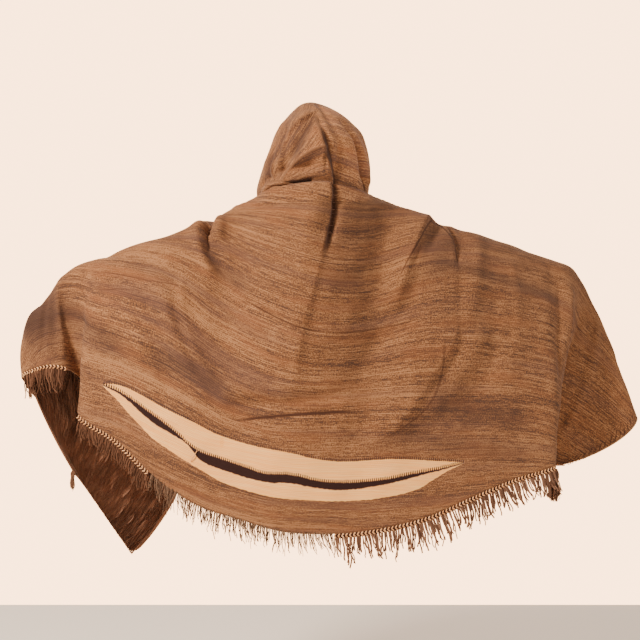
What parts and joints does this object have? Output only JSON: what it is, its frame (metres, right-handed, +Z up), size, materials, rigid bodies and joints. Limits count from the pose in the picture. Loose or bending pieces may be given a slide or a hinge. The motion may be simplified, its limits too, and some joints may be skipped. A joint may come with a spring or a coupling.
{
  "type": "burnous hooded cloak",
  "caption": "Hooded half-oval woven wool cloak draped over spread arms with the hood up, plaited and fringed hem, open front.",
  "frame": {"origin": "base of the neck, between the shoulders, where the cloak rests on its wearer", "axes": "+X to the wearer's right, across the spread arms; +Y the way the wearer faces; +Z up"},
  "size_m": [1.816, 0.4161, 1.3218],
  "materials": {
    "brown_wool": "matt handwoven wool",
    "hood_wool": "matt handwoven wool",
    "plait_cream_and_brown": "two-colour wool plait",
    "fringe_wool": "loose twisted wool yarn"
  },
  "bodies": {
    "root": {"cape_body": "brown_wool", "hood": "hood_wool", "plait_right": "plait_cream_and_brown", "plait_left": "plait_cream_and_brown", "plait_hand_left": "plait_cream_and_brown", "fringe_right": "fringe_wool", "fringe_middle": "fringe_wool", "fringe_left": "fringe_wool", "fringe_hand_left": "fringe_wool", "tassel_right": "fringe_wool", "tassel_left": "fringe_wool"}
  },
  "joints": []
}
